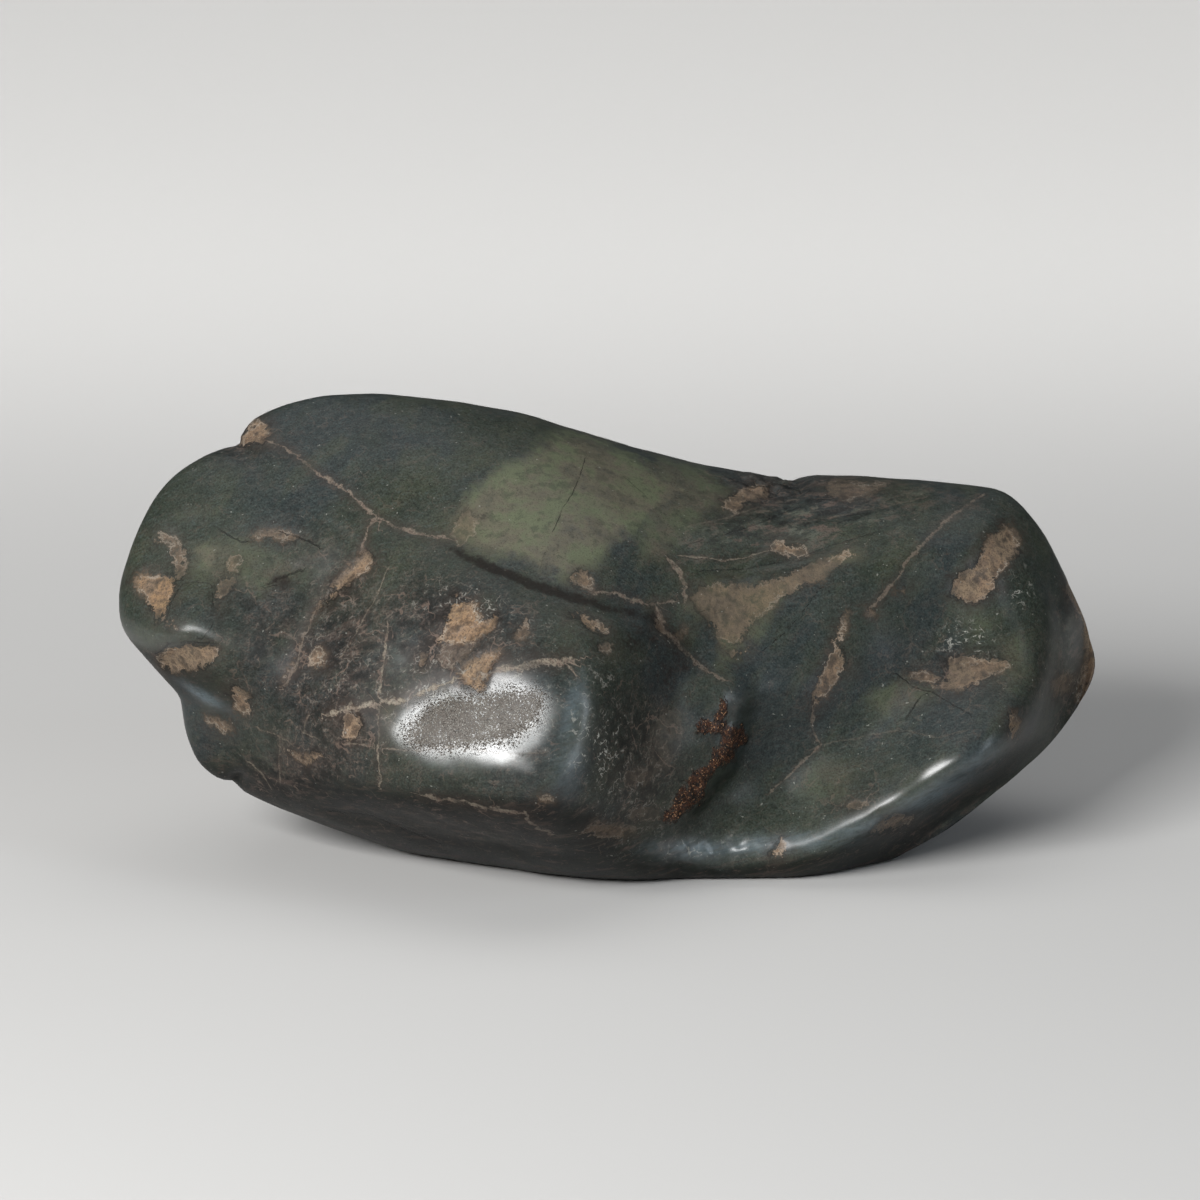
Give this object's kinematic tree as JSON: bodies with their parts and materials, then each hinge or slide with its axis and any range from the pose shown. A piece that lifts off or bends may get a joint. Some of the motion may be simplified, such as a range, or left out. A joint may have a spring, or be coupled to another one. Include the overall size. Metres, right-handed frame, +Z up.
{
  "type": "serpentine stone",
  "caption": "River-smoothed serpentine boulder, long and low, with a bulging belly, a deep fold, a lipped slab and a small worn flat it rests on.",
  "frame": {"origin": "centre of the bounding box in plan, at the level of the worn flat the stone rests on", "axes": "+X along the stone's length towards the slab end, +Y away from the front face, +Z up"},
  "size_m": [0.2216, 0.1144, 0.1009],
  "materials": {
    "serpentine": "very dark blue-green serpentine, ground smooth by water to a soft gloss, with pale grey-green patches, matt tan inclusions, beige veins, fine cracks and pale specks"
  },
  "bodies": {
    "root": {"serpentine_stone": "serpentine"}
  },
  "joints": []
}
